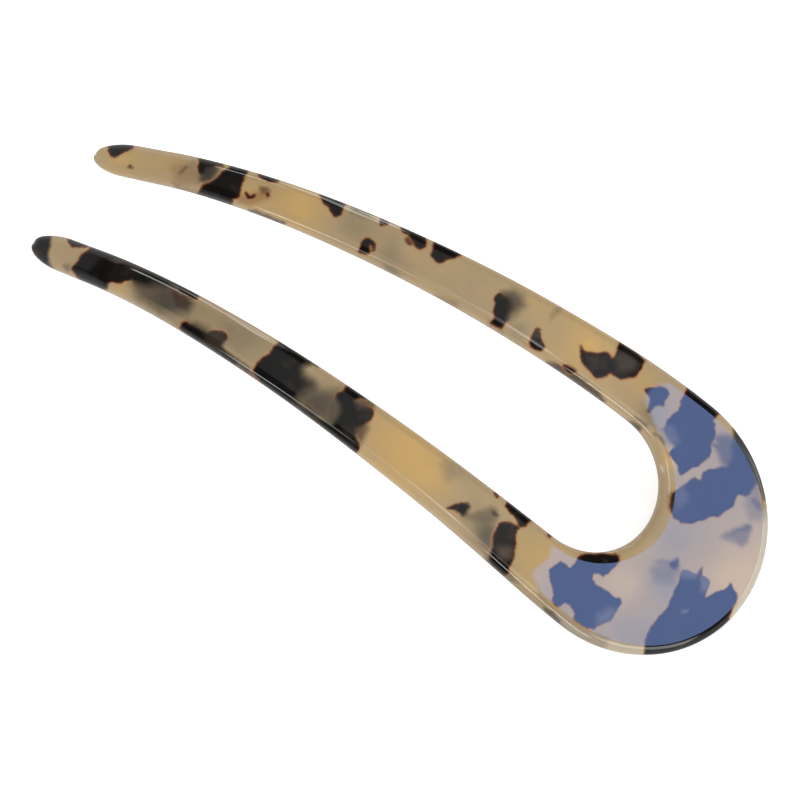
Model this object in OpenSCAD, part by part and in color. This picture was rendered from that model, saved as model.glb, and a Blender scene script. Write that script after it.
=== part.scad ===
/* [Pin] */
// Length of the pin along the outer face of its bend, from the end of the crown to the tips
pin_length = 125; // [110:1:150]
// Thickness of the sheet that the pin is cut from
thickness = 3.2; // [2.6:0.1:4.5]

/* [Crown] */
// Width across the crown
crown_width = 36.5; // [33:0.5:44]
// How far back from its end the round outline of the crown runs
crown_round = 19.4; // [16:0.2:24]
// Solid band between the end of the crown and the gap
crown_band = 17.3; // [12:0.1:21]
// How far back from its closed end the round outline of the gap runs
gap_round = 10.4; // [8:0.1:13]

/* [Legs] */
// Width of each leg where it leaves the crown
root_width = 8.7; // [7:0.1:10.5]
// Width of each leg at its tip, before the tip is rounded off
tip_width = 4.7; // [4:0.1:6]
// Width across both tips, from outside to outside
tip_spread = 20; // [17:0.5:26]
// Length of the round outline of each tip
tip_round = 7.6; // [4:0.1:11]

/* [Thinned tips] */
// Thickness of each leg at its tip, before the end is rounded off
tip_thickness = 1.4; // [1:0.1:2.4]
// Length over which each leg thins towards its tip
tip_taper = 41; // [20:1:60]
// Length over which the very end of each tip rounds off in height
end_round = 1.6; // [0.8:0.1:3]

/* [Bend] */
// Angle that the tips are bent down from the crown
bend_angle = 69.5; // [30:0.5:90]
// Length of the flat part at the crown
crown_flat = 25.5; // [20:0.5:34]
// Length of the straight part at the tips
tip_flat = 16; // [10:0.5:26]

/* [Polished edges] */
// How far the rounding of an edge reaches in over the flat faces
edge_inset = 1.25; // [0.6:0.05:1.5]
// How far the rounding reaches in at the closed end of the gap
gap_inset = 1.8; // [0.6:0.05:2.4]
// How far the rounding of an edge reaches down the wall
edge_drop = 1.25; // [0.4:0.05:1.4]

/* [Hidden] */

// Leg outline: each row is a share of the leg's length and, there, how much of the
// narrowing from crown to tip is still to come at the outer and at the inner edge
LEG_ROWS = [
    [0.00, 1.000, 1.000],
    [0.25, 0.790, 0.840],
    [0.50, 0.485, 0.555],
    [0.75, 0.200, 0.265],
    [1.00, 0.000, 0.000]
];
OUTER = 1;
INNER = 2;

// Rings along one half of the pin, and points across a ring
crown_rings = 16;
leg_rings = 30;
tip_rings = 9;
round_steps = 4;
face_steps = 4;

// Most that a rounding may take of the half width and the half height that carry it
most_of_width = 0.75;
most_of_height = 0.85;

// Share of a station over which the direction of an edge is measured
short_way = 0.002;
// Halvings of the search for the turn in which the pin lies level
level_steps = 24;

crown_half = crown_width / 2;
gap_half = crown_half - root_width;
gap_start = crown_band + gap_round;
tip_half = tip_spread / 2;
tip_start = pin_length - tip_round;
bend_run = pin_length - crown_flat - tip_flat;
bend_radius = bend_run / (bend_angle * PI / 180);
half_rings = crown_rings + leg_rings + tip_rings;

// Smooth curve through one column of the leg table, level where the leg leaves the crown
function row_slope(i, column) =
    let (last = len(LEG_ROWS) - 1)
    i == 0 ? 0
    : i == last ? LEG_ROWS[last][column] - LEG_ROWS[last - 1][column]
    : (LEG_ROWS[i + 1][column] - LEG_ROWS[i - 1][column]) / 2;

function leg_share(share, column) =
    let (
        spans = len(LEG_ROWS) - 1,
        x = max(0, min(1, share)) * spans,
        i = min(floor(x), spans - 1),
        f = x - i
    )
    (2 * pow(f, 3) - 3 * pow(f, 2) + 1) * LEG_ROWS[i][column]
    + (pow(f, 3) - 2 * pow(f, 2) + f) * row_slope(i, column)
    + (3 * pow(f, 2) - 2 * pow(f, 3)) * LEG_ROWS[i + 1][column]
    + (pow(f, 3) - pow(f, 2)) * row_slope(i + 1, column);

// Distance of a leg's edges from the middle line, at length u along the pin
function outer_half(u) =
    tip_half + (crown_half - tip_half) * leg_share((u - crown_round) / (pin_length - crown_round), OUTER);

function inner_half(u) =
    let (tip_inner = tip_half - tip_width)
    tip_inner + (gap_half - tip_inner) * leg_share((u - gap_start) / (pin_length - gap_start), INNER);

// Flat outline point at station s: 0 to 1 round the crown, 1 to 2 along the leg, 2 to 3 round the tip
function crown_point(s, edge) =
    let (a = 90 * s)
    edge == OUTER
        ? [crown_round * (1 - cos(a)), crown_half * sin(a)]
        : [crown_band + gap_round * (1 - cos(a)), gap_half * sin(a)];

function leg_point(s, edge) =
    let (
        start = edge == OUTER ? crown_round : gap_start,
        u = start + (s - 1) * (tip_start - start)
    )
    [u, edge == OUTER ? outer_half(u) : inner_half(u)];

function tip_point(s, edge) =
    let (
        a = 90 * (s - 2),
        u = tip_start + tip_round * sin(a),
        middle = (outer_half(u) + inner_half(u)) / 2,
        half = (outer_half(u) - inner_half(u)) / 2 * cos(a)
    )
    [u, edge == OUTER ? middle + half : middle - half];

function outline_point(s, edge) =
    s < 1 ? crown_point(s, edge) : s < 2 ? leg_point(s, edge) : tip_point(s, edge);

// Direction straight out of the material at an outline point
function outward(s, edge) =
    let (
        along = outline_point(min(s + short_way, 3), edge) - outline_point(s - short_way, edge),
        side = edge == OUTER ? [-along[1], along[0]] : [along[1], -along[0]]
    )
    side / norm(side);

// Height of the pin at length u, thinned towards the tips and rounded off at their very ends
function height_at(u) =
    let (
        taper = max(0, (u - pin_length + tip_taper) / tip_taper),
        ending = max(0, (u - pin_length + end_round) / end_round)
    )
    (thickness - (thickness - tip_thickness) * pow(taper, 2)) * sqrt(max(0, 1 - pow(ending, 2)));

// Reach of the edge rounding over the face at a station
function inset_at(s, edge) =
    let (
        half = norm(outline_point(s, OUTER) - outline_point(s, INNER)) / 2,
        wanted = edge == OUTER ? edge_inset : edge_inset + (gap_inset - edge_inset) * max(0, 1 - s)
    )
    min(wanted, most_of_width * half);

// Bend: the flat position u along the pin, v across it and w above its middle plane,
// laid on a flat crown, a round bend and straight tips, with lengths kept on the outer face
function bent(u, v, w) =
    let (
        turn = max(0, min(bend_angle, (u - crown_flat) / bend_radius * 180 / PI)),
        before = min(u, crown_flat),
        after = max(0, u - crown_flat - bend_run),
        rise = w - thickness / 2
    )
    [
        before + bend_radius * sin(turn) + after * cos(turn) + rise * sin(turn),
        v,
        -bend_radius * (1 - cos(turn)) - after * sin(turn) + rise * cos(turn)
    ];

// Points of one edge at a station, from the top face round the wall to the bottom face
function edge_points(s, edge, side) =
    let (
        p = outline_point(s, edge),
        n = outward(s, edge),
        inset = inset_at(s, edge),
        half = height_at(p[0]) / 2,
        drop = min(edge_drop, most_of_height * half),
        top = [
            for (i = [0 : round_steps])
                let (a = 90 * i / round_steps, q = p - n * inset * (1 - sin(a)))
                [q[0], q[1] * side, half - drop * (1 - cos(a))]
        ],
        bottom = [for (i = [round_steps : -1 : 0]) [top[i][0], top[i][1], -top[i][2]]]
    )
    concat(top, bottom);

// Points between two face points, spread evenly
function between(a, b) = [for (i = [1 : face_steps - 1]) a + (b - a) * i / face_steps];

// Closed ring of points round the section at a station, each bent into place
function ring(s, side) =
    let (
        outer = edge_points(s, OUTER, side),
        inner = edge_points(s, INNER, side),
        last = len(outer) - 1,
        flat = concat(
            outer,
            between(outer[last], inner[last]),
            [for (i = [last : -1 : 0]) inner[i]],
            between(inner[0], outer[0])
        )
    )
    [for (q = flat) bent(q[0], q[1], q[2])];

// Station of a ring counted from the middle of the crown
function station(i) =
    i <= crown_rings ? i / crown_rings
    : i <= crown_rings + leg_rings ? 1 + (i - crown_rings) / leg_rings
    : 2 + (i - crown_rings - leg_rings) / tip_rings;

// Rings from one tip round the crown to the other, without the two end points
RINGS = concat(
    [for (i = [half_rings - 1 : -1 : 1]) ring(station(i), -1)],
    [for (i = [0 : half_rings - 1]) ring(station(i), 1)]
);
RING_SIZE = len(RINGS[0]);
TIP_END = tip_point(3, OUTER);
END_POINTS = [
    bent(TIP_END[0], -TIP_END[1], 0),
    bent(TIP_END[0], TIP_END[1], 0)
];
BENT_POINTS = concat([for (r = RINGS) each r], END_POINTS);

// Turn about the Y axis that lets the end of the crown and the tips lie on one level
function lowest(a, crown) =
    min([
        for (p = BENT_POINTS)
            if ((p[0] < crown_flat) == crown) p[2] * cos(a) + p[0] * sin(a)
    ]);

function level_turn(low, high, steps) =
    let (middle = (low + high) / 2)
    steps == 0 ? middle
    : lowest(middle, true) > lowest(middle, false) ? level_turn(middle, high, steps - 1)
    : level_turn(low, middle, steps - 1);

rest_turn = level_turn(0, bend_angle, level_steps);
LEVEL_POINTS = [
    for (p = BENT_POINTS)
        [p[0] * cos(rest_turn) - p[2] * sin(rest_turn), p[1], p[2] * cos(rest_turn) + p[0] * sin(rest_turn)]
];
lowest_x = min([for (p = LEVEL_POINTS) p[0]]);
highest_x = max([for (p = LEVEL_POINTS) p[0]]);
lowest_z = min([for (p = LEVEL_POINTS) p[2]]);
REST_SHIFT = [(lowest_x + highest_x) / 2, 0, lowest_z];

// Faces between neighbouring rings, and the fans that close the tips
function band_faces(rings, size) = [
    for (r = [0 : rings - 2], i = [0 : size - 1])
        let (
            a = r * size + i,
            b = r * size + (i + 1) % size,
            c = a + size,
            d = b + size
        )
        each [[a, b, c], [b, d, c]]
];

function fan_faces(first, size, apex, flip) = [
    for (i = [0 : size - 1])
        let (a = first + i, b = first + (i + 1) % size)
        flip ? [apex, b, a] : [apex, a, b]
];

// The whole pin: one piece of sheet, cut, polished round and bent
module hair_pin() {
    count = len(RINGS);
    color([0.73, 0.65, 0.49])
        polyhedron(
            points = [for (p = LEVEL_POINTS) p - REST_SHIFT],
            faces = concat(
                band_faces(count, RING_SIZE),
                fan_faces(0, RING_SIZE, count * RING_SIZE, true),
                fan_faces((count - 1) * RING_SIZE, RING_SIZE, count * RING_SIZE + 1, false)
            ),
            convexity = 6
        );
}

hair_pin();
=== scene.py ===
import math

import bpy
import numpy as np
from mathutils import Matrix, Vector


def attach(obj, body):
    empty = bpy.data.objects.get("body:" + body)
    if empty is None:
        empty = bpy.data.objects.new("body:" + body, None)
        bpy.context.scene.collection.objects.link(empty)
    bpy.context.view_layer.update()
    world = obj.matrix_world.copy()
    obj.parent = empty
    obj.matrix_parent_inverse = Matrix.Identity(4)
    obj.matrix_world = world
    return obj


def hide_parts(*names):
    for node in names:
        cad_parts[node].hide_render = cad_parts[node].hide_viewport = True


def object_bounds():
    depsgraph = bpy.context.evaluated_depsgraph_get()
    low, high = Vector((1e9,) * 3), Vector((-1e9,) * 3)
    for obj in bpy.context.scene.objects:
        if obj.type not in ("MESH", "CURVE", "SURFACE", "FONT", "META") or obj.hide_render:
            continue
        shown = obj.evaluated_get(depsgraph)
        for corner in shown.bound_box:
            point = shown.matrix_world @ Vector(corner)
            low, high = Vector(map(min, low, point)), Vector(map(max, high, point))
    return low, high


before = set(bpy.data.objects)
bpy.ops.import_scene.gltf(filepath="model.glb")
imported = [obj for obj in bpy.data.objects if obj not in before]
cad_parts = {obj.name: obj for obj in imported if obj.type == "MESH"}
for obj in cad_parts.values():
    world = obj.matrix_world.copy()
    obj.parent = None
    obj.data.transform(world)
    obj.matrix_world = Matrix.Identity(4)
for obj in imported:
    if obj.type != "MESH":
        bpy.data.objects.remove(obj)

cad_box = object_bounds()

# Sizes of the pin in millimetres, the same as in its construction
MM = 0.001
PIN_LENGTH = 125.0
THICKNESS = 3.2
CROWN_WIDTH = 36.5
CROWN_ROUND = 19.4
CROWN_BAND = 17.3
GAP_ROUND = 10.4
ROOT_WIDTH = 8.7
TIP_WIDTH = 4.7
TIP_SPREAD = 20.0
TIP_ROUND = 7.6
TIP_THICKNESS = 1.4
TIP_TAPER = 41.0
END_ROUND = 1.6
BEND_ANGLE = math.radians(69.5)
CROWN_FLAT = 25.5
TIP_FLAT = 16.0
EDGE_INSET = 1.25
GAP_INSET = 1.8
EDGE_DROP = 1.25

# Leg outline: share of the leg's length, and how much narrowing is left at its outer and inner edge
LEG_ROWS = np.array([
    [0.00, 1.000, 1.000],
    [0.25, 0.790, 0.840],
    [0.50, 0.485, 0.555],
    [0.75, 0.200, 0.265],
    [1.00, 0.000, 0.000],
])
OUTER = 1
INNER = 2

CROWN_HALF = CROWN_WIDTH / 2
GAP_HALF = CROWN_HALF - ROOT_WIDTH
GAP_START = CROWN_BAND + GAP_ROUND
TIP_HALF = TIP_SPREAD / 2
TIP_START = PIN_LENGTH - TIP_ROUND
BEND_RUN = PIN_LENGTH - CROWN_FLAT - TIP_FLAT
BEND_RADIUS = BEND_RUN / BEND_ANGLE

# Most that a rounding may take of the half width and the half height that carry it
MOST_OF_WIDTH = 0.75
MOST_OF_HEIGHT = 0.85

# The polished face meets its rounded edge in a fine line, which fades out along the thin tips
CREASE = math.radians(13)
CREASE_FADES = (98.0, 116.0)

# Rings along one half of the pin, steps across a ring, and its point where the outer edge starts
CROWN_RINGS = 104
LEG_RINGS = 310
TIP_RINGS = 34
FACE_STEPS = 42
ROUND_STEPS = 6
WALL_STEPS = 2
UNDER_STEPS = 16
OUTER_LINE = 0

# Share of a station over which an edge's direction is measured, and halvings in the search for level
SHORT_WAY = 0.002
LEVEL_STEPS = 40

# The photograph's camera, in millimetres, but for its frame and focal length, which are in pixels
FRAME_PX = 800
CAMERA_AIM = np.array([-2.63, 2.89, 10.58])
CAMERA_AZIMUTH = math.radians(135.79)
CAMERA_ELEVATION = math.radians(70.015)
CAMERA_ROLL = math.radians(13.24)
CAMERA_DISTANCE = 1250.0
CAMERA_FOCAL_PX = 9275.0
SENSOR_WIDTH = 36.0

# Dark patches, charted as outlines in pixels of the photograph: x, y and, where it changes,
# the half width of the blur from there on
DARK = {
    "near_tip_cap": [
        (25, 225, 3.8), (51, 228), (51, 238, 3), (49.5, 246), (47.5, 256), (48.5, 263, 3.8), (52, 268),
        (40, 280), (20, 260)],
    "near_tip_top": [
        (68, 237, 1.5), (69.5, 243), (72, 246, 1.3), (78, 247), (86, 246, 1.5), (93, 246), (80, 235),
        (70, 232)],
    "near_tip_big": [
        (94, 247, 1.5), (88, 251, 1.2), (84, 254), (80, 257), (79, 260), (76, 264), (72, 268),
        (73, 271, 1.5), (80, 280, 2), (95, 290, 2.5), (106, 289), (108, 283), (112, 281, 1.3),
        (117, 282.3, 1.2), (122, 282), (126, 280, 1.3), (131, 279.5, 2), (137, 283, 5), (145, 285, 7),
        (155, 284, 8), (165, 285), (178, 287, 5), (172, 279, 3), (150, 268, 1), (120, 255), (100, 245)],
    "near_top_streak": [
        (174, 284, 2), (178, 288), (183, 293, 2.5), (190, 297), (197, 299, 1.5), (197, 292, 1),
        (185, 284), (176, 280)],
    "near_low_streak": [
        (180, 328, 1.5), (182, 323, 1.2), (186, 322), (191, 325, 3), (200, 329, 4), (207, 333, 3.5),
        (211, 332, 2), (216, 331, 1.5), (222, 332, 1.3), (226, 334, 1.2), (227, 337, 1.5),
        (224, 342, 3), (221, 347, 4), (226, 353), (236, 362), (228, 368, 3), (205, 352, 2), (190, 342)],
    "near_middle_big": [
        (281, 341, 1.2), (277, 345), (274, 347), (273, 350), (270, 354), (264, 358), (259, 362),
        (255, 367), (253, 371, 1.5), (257, 377, 2), (262, 385), (285, 402), (310, 420, 4), (313, 416, 6),
        (300, 408, 10), (297, 398, 9), (303, 390, 10), (309, 384, 12), (303, 376, 10), (302, 369, 8),
        (306, 364, 6), (314, 364, 3), (318, 367, 2), (310, 357, 1), (290, 343)],
    "near_middle_second": [
        (346, 387, 1.5), (343, 392), (337, 394, 1.8), (336, 398, 3), (341, 405, 6), (341, 412),
        (338, 419, 5), (333, 424, 4), (322, 422), (314, 417, 3), (310, 419), (335, 442, 1), (352, 456),
        (359, 449, 1.5), (358, 443, 2), (355, 436, 3), (356, 428, 4), (364, 424, 2.5), (370, 420, 1.5),
        (372.5, 415), (372.5, 410), (366, 407, 2.5), (358, 404, 3), (354, 401), (360, 397, 2),
        (372, 399), (372, 395, 1), (356, 388)],
    "near_root_small": [
        (447, 508, 1.2), (452, 506, 1.3), (457, 504.5, 1.5), (462, 503, 2), (468, 504, 3.5),
        (470, 507), (467, 511), (465, 514), (463, 516), (459, 512, 2.5), (455, 510, 1.3),
        (450, 509, 1.2)],
    "near_root_big": [
        (500, 524, 1.3), (505, 522.3), (510, 523, 1.2), (515, 525.5), (519, 528), (516, 530, 1.3),
        (515, 538), (515, 547, 1.5), (513.5, 556, 2), (511, 564, 2.5), (508, 568, 1.5), (508, 573, 2),
        (503, 576, 3), (496, 570), (489, 561), (490, 555), (493, 548, 2.5), (493, 541, 1.5),
        (494.5, 534, 1.3), (497, 528)],
    "near_root_inner": [
        (506, 506, 1.2), (508, 509), (511, 513), (514, 515.5), (516, 518), (518, 521), (519, 524, 1.3),
        (520, 527), (523, 526.5), (526, 525), (529, 521.5), (532, 520, 1), (520, 508), (508, 502)],
    "near_root_speck": [(494.5, 492.5, 1), (497.5, 494), (498.5, 496.5), (497, 497)],
    "gap_speck": [(547.5, 534, 0.8), (551, 535.5), (550, 537.5), (548, 536)],
    "far_tip_top": [
        (109, 145, 1.3), (109.5, 152), (111, 156), (114, 157), (118, 155), (122, 153), (126, 150.5),
        (130, 149, 1.8), (133, 148, 2), (131, 142, 1), (110, 140)],
    "far_tip_fading": [
        (200, 157, 1), (199.5, 162, 1.2), (198.5, 166), (199.3, 170, 1.5), (200.5, 174, 2.5), (203, 172, 4),
        (206, 168, 5), (211, 166, 4), (216, 165, 2.5), (223, 166.5, 1.5), (223, 161, 1), (210, 155)],
    "far_tip_big": [
        (229, 163, 1), (231, 166, 1.2), (228.5, 169, 1.3), (222.5, 172.5), (216, 179), (210, 182.5),
        (203, 186), (199, 192.5, 2), (196, 196, 2.5), (210, 204, 3), (226, 207), (231, 204, 2),
        (232.5, 199, 1.5), (238, 197, 1.2), (240, 191), (241, 184, 1.3), (244.6, 176), (246.5, 173.5, 1.5),
        (248, 171), (246, 166, 1)],
    "far_edge_band": [
        (258, 172, 1), (259.5, 176, 1.3), (262, 178.2), (268, 180.6), (274, 182), (277.5, 182),
        (278.5, 179), (276, 176, 1), (262, 171)],
    "far_tick": [
        (245.4, 192.8, 0.7), (246.8, 193.4), (248.6, 196), (250.8, 196.4), (253, 195.2), (254.6, 194.8),
        (254.6, 196), (252.4, 197.4), (250.6, 198.4), (248.8, 198.2), (246.8, 196.3)],
    "far_dot": [(266.3, 193, 0.8), (268.6, 192.6), (269.3, 195.5), (267.4, 196.3)],
    "far_wedge": [
        (320, 195, 1), (321.5, 199, 1.1), (324, 203), (328, 206), (330.5, 209), (332, 213),
        (334, 215.5), (337, 216.5), (340, 215), (342, 211), (342.5, 208), (344, 205.5, 1.5), (345, 202),
        (335, 196, 1)],
    "far_hook": [
        (359, 250, 1.2), (361, 246), (361, 243), (363, 240.5), (366, 238.7), (369, 238.7), (372.5, 241, 0.9),
        (374.4, 244, 0.8), (375, 248), (374.4, 250.3), (373.2, 248.5), (372.4, 245.2), (370.4, 243.6),
        (369, 245.5), (369.4, 249, 1), (369.4, 252), (367.5, 253.6, 1.3), (364, 253), (360, 252)],
    "far_triangle": [(381, 218.5, 1), (381, 225), (388, 224.3), (387.8, 222), (385, 220)],
    "far_heart": [
        (401, 229, 1.1), (404, 232), (407.5, 234), (410, 235.6, 1.2), (412.5, 240), (415, 244),
        (417.5, 248), (421, 249.3), (425, 246.5), (426, 241), (426, 238, 1), (415, 230), (405, 226)],
    "far_bracket": [
        (434, 243, 1), (433, 248, 1.3), (433, 252, 1.5), (431, 255, 1.2), (432, 257), (434, 259),
        (436, 261.5, 1.1), (439, 262.5), (443, 261.5), (446, 259.5), (450, 258.5), (455, 257),
        (461, 255, 1), (455, 249), (440, 241)],
    "far_middle_fading": [
        (496, 296, 1.2), (498, 294.3), (501, 294, 1.5), (504, 296.5, 3), (508, 299, 5), (510, 302, 6),
        (510, 307, 7), (508, 313, 6), (507, 319, 5), (505, 322, 2), (503, 325, 1.5), (501, 328, 2),
        (496, 326, 1.5), (491, 323), (493, 320), (495, 317, 1.3), (494, 313, 1.2), (494, 308),
        (495.5, 303), (495, 299)],
    "far_drop": [
        (538, 328.3, 1.1), (540, 330), (539, 332), (539.5, 336, 1.3), (541, 340, 1.5), (543, 343.5),
        (544, 347, 1.3), (542, 350, 1.2), (537, 350.5), (532, 347.5), (529.5, 344.5), (530, 341, 1.3),
        (532, 338), (533.5, 334, 1.2), (535.5, 330, 1.1)],
    "far_edge_core": [
        (563, 364.5, 1.2), (566, 365), (570, 367, 1.3), (575, 370), (576, 372, 1.5), (571, 373, 2),
        (567, 370, 1.5), (564, 367, 1.3)],
    "far_butterfly": [
        (581, 346, 1), (582.5, 350, 1.2), (585, 352.5), (590, 353), (598, 353.7), (603, 353),
        (607, 352.8), (609, 354.5), (610.5, 357), (612, 359), (614, 358), (615.5, 355), (617, 351),
        (618, 348), (620, 343, 1), (632, 349), (645, 361), (643, 364, 1.3), (641.5, 367), (639, 370),
        (637, 374), (633.5, 376.5, 1.2), (628, 377.5), (623, 378.5), (620, 379), (617, 377.5),
        (613.5, 374.5), (611.5, 372), (609.5, 372.5), (607, 375), (603, 377), (598, 378.3),
        (594.5, 376.5), (591, 372.5), (588, 368.5), (583.5, 364.5), (582, 361), (581.5, 356),
        (580.3, 350, 1)],
    "crown_small": [
        (645.6, 390, 1.1), (651, 388.2), (658.8, 387, 1.2), (664, 387.8), (667.5, 389.4, 1.5),
        (668.8, 393.8, 1.2), (665, 400), (663, 406, 1.3), (658.8, 404.4), (653.8, 407.5, 1.5),
        (650, 412.5, 2), (648, 411, 2.5), (649.4, 405), (651, 398.8), (648.8, 395, 2),
        (646.5, 392.5, 1.3)],
    "crown_upper": [
        (688, 386, 1.2), (686, 393, 1.3), (684.5, 396), (683, 398.5, 1.5), (681, 401), (681.5, 404, 1.3),
        (680, 407), (678.5, 410.5), (674, 414), (670.5, 418, 1.5), (667, 421, 2), (666, 426),
        (665, 430, 2.5), (668, 436, 4), (672, 442, 5), (676, 446, 4), (674, 448, 2.5), (671, 450, 1.3),
        (669.5, 453, 1.1), (672, 457), (674, 461), (677.5, 465), (679, 468), (678.5, 471), (680, 474.8),
        (682.5, 474.5, 1.2), (686, 472.5), (689, 469.5), (693, 467.5), (698, 465.5), (702, 462.5),
        (706, 459.5), (709.5, 456), (711, 452), (710, 445, 1.5), (713.8, 438.8), (715, 433.8, 1.2),
        (713.8, 428.8), (715, 423.8), (712, 420.6, 1.3), (716, 416), (720, 412, 1.2), (705, 398, 1)],
    "crown_middle": [
        (675, 491, 1.1), (680, 488, 2), (686, 484.5), (690, 480.8), (694, 477.5, 1.5), (697.5, 480, 1.3),
        (700.6, 481.3, 1.2), (702.5, 476), (703.8, 472.5, 1.3), (709, 470, 1.5), (720, 468, 2.5),
        (728, 466, 4), (733, 458, 5), (733, 445), (735, 436, 3), (733, 428, 2), (745, 430, 1),
        (768, 478), (774, 500), (764, 500, 3), (759, 485), (756, 484, 4), (752, 489), (747, 496, 2),
        (742, 494.5, 1.5), (738, 494, 1.3), (736.5, 496, 1.2), (735, 501), (733, 505.5), (729, 508.5),
        (724, 512), (720.5, 515), (717.5, 516.5), (715, 515.3), (712, 515.5), (707, 518), (701, 520),
        (696, 521.5), (691, 523.3), (685, 523), (681, 522.5), (680, 520), (676, 518.5), (673, 518, 1.1),
        (672.5, 514), (671.5, 510, 1.2), (670.5, 505, 1.3), (671.5, 500), (672.5, 495, 1.2)],
    "crown_lower": [
        (683, 571, 2.5), (687, 571), (692, 573), (697, 575, 2), (698, 573, 1.2), (702, 567.2, 1),
        (701.5, 571, 1.1), (700.6, 576, 1.5), (705, 577.5, 2.5), (708, 580, 2), (709, 582.5, 1.3),
        (707, 590), (705, 595), (704.4, 598, 1.2), (708, 597.3), (712, 594.5), (716, 592), (720, 590.8),
        (725, 590), (728, 587, 1.1), (731, 583, 1), (733, 589, 1.1), (737, 594), (736, 600),
        (735, 602.5), (731, 610), (729, 615, 1.2), (728, 624), (715, 636, 1), (700, 648), (675, 658),
        (646, 660, 1.5), (645, 652, 2), (645, 646), (646, 640, 2.5), (648, 633, 2), (651, 628, 1.3),
        (656, 621.5, 1.2), (659.5, 616.5), (663.5, 613), (667, 609), (669.5, 604), (671.5, 598),
        (674.5, 591), (677.5, 585), (680, 579, 1.3), (681, 575, 1.5)],
    "crown_near": [
        (549, 570, 1.1), (552, 568, 1.2), (557, 564.5), (560.6, 562), (565, 564), (568, 567.5),
        (570, 569), (572.5, 567), (575, 564), (578, 559, 1.1), (580, 556.5), (582, 555.3, 0.9),
        (590, 554.3), (605, 554.3), (615, 555.3), (619.5, 557.5), (619, 561, 1.1), (616, 565),
        (612.5, 569), (608, 573), (603, 576, 1.2), (599, 573), (596, 572.6), (593, 573), (592, 579),
        (595, 585), (600, 587.5), (606, 590.6), (610, 594), (614, 597.5), (620, 598, 1), (621, 603, 1.1),
        (617.5, 609, 1.3), (613, 615, 1.8), (610, 620, 2), (604, 623), (598, 625, 1.5), (595, 628.5, 1.3),
        (587, 627.3, 1.1), (580.5, 623.3), (574, 619), (575, 612.5, 1.4), (573, 608.5), (571, 605, 1.8),
        (565, 602), (560.5, 605.8, 1.3), (557, 606), (552, 600.6), (554.5, 595), (553, 589, 1.2),
        (551.5, 583), (550, 577)],
}

# Lighter parts inside the patches, where more light passes: strength, then an outline as above
THIN = {
    "near_tip_streak": (0.6, [(107, 259, 2), (118, 259.5), (125, 263), (116, 263.5)]),
    "near_low_blob": (0.35, [(204, 329, 6), (226, 332, 4), (226, 348), (207, 349, 6)]),
    "near_second_notch": (0.5, [(354, 401, 3), (368, 404), (370, 411), (356, 409)]),
    "near_root_lower": (0.9, [(498, 547, 5), (514, 547), (513, 558), (506, 561), (499, 556)]),
    "far_drop_top": (0.5, [(534, 328, 2), (541, 328), (541, 338, 3), (532, 338)]),
    "far_butterfly_left": (0.2, [(587, 356, 5), (607, 357), (606, 369), (592, 370)]),
    "far_butterfly_right": (0.45, [(616, 357, 5), (624, 352), (637, 361), (633, 370), (617, 372)]),
    "crown_near_low": (0.5, [(597, 615, 6), (610, 608), (618, 611), (608, 622), (597, 625)]),
    "crown_lower_speck": (0.6, [(679.5, 613.5, 0.9), (683, 610.5), (689, 608.5), (687, 611.5), (682, 614)]),
    "crown_lower_top": (0.45, [(680, 569, 2.5), (690, 569), (698, 573), (696, 579, 3.5), (682, 578)]),
    "crown_lower_veil": (0.5, [(700, 576, 2), (710, 580), (708, 590), (701, 592, 3.5)]),
    "crown_upper_left": (0.35, [(664, 425, 4), (674, 426), (680, 442), (670, 446)]),
    "crown_middle_left": (0.3, [(672, 492, 4), (684, 486), (690, 500), (676, 512)]),
}
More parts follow.
